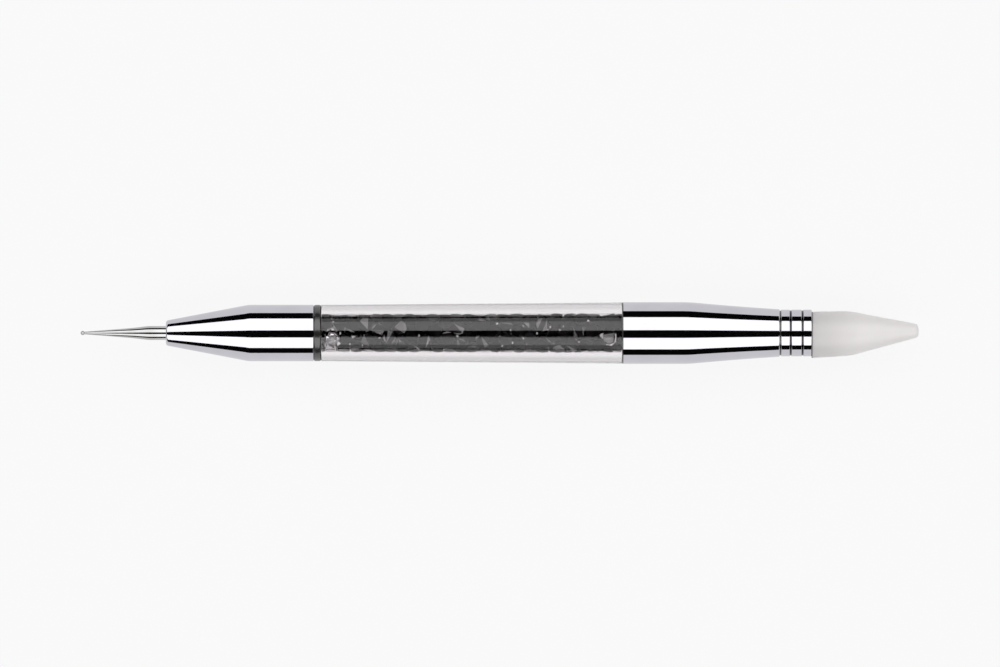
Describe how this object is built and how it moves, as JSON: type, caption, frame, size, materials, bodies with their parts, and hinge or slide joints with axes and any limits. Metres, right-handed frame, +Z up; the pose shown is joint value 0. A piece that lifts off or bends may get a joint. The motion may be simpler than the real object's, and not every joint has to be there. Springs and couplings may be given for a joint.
{
  "type": "double-ended craft stylus",
  "caption": "Pen-shaped craft stylus with a steel ball point, a clear handle filled with faceted stones, chromed ferrules and a screw-in soft shaping tip.",
  "frame": {"origin": "middle of the pen's length and width, on the surface that it lies on", "axes": "+X along the pen from the ball point to the soft tip; +Z up from the surface; +Y is the side that the soft tip leans to"},
  "size_m": [0.135, 0.01, 0.01],
  "materials": {
    "polished_steel": "turned and polished steel",
    "chrome": "mirror chrome plate on a turned shell",
    "dark_rubber": "dark grey rubber with a slight sheen",
    "clear_acrylic": "clear polished acrylic",
    "black_stone": "black faceted glossy resin",
    "clear_stone": "clear faceted resin",
    "stopper_plastic": "soft pale plastic plug",
    "turned_brass": "turned brass, bare",
    "milky_silicone": "translucent milky silicone, satin"
  },
  "bodies": {
    "handle": {"ball_stylus": "polished_steel", "stylus_holder": "turned_brass", "nose_ferrule": "chrome", "nose_seal_ring": "dark_rubber", "front_stopper": "stopper_plastic", "barrel_tube": "clear_acrylic", "clear_stones": "clear_stone", "black_stones_01": "black_stone", "black_stones_02": "black_stone", "black_stones_03": "black_stone", "black_stones_04": "black_stone", "black_stones_05": "black_stone", "black_stones_06": "black_stone", "black_stones_07": "black_stone", "black_stones_08": "black_stone", "rear_stopper": "stopper_plastic", "tail_seal_ring": "dark_rubber", "tail_ferrule": "chrome", "tip_socket": "turned_brass"},
    "washer": {"tip_washer": "dark_rubber"},
    "tip": {"tip_collar": "chrome", "soft_tip": "milky_silicone"}
  },
  "joints": [
    {"name": "tip_advance", "type": "slide", "parent": "handle", "child": "washer", "axis": [1, 0, 0], "range_m": [0, 0.0042]},
    {"name": "tip_turn", "type": "hinge", "parent": "washer", "child": "tip", "pos_m": [0.04533, 0, 0.00498], "axis": [1, 0, 0], "range_deg": [0, 2160]}
  ],
  "couplings": [
    {"joint": "tip_turn", "follows": "tip_advance", "rad_per_m": 8976}
  ]
}
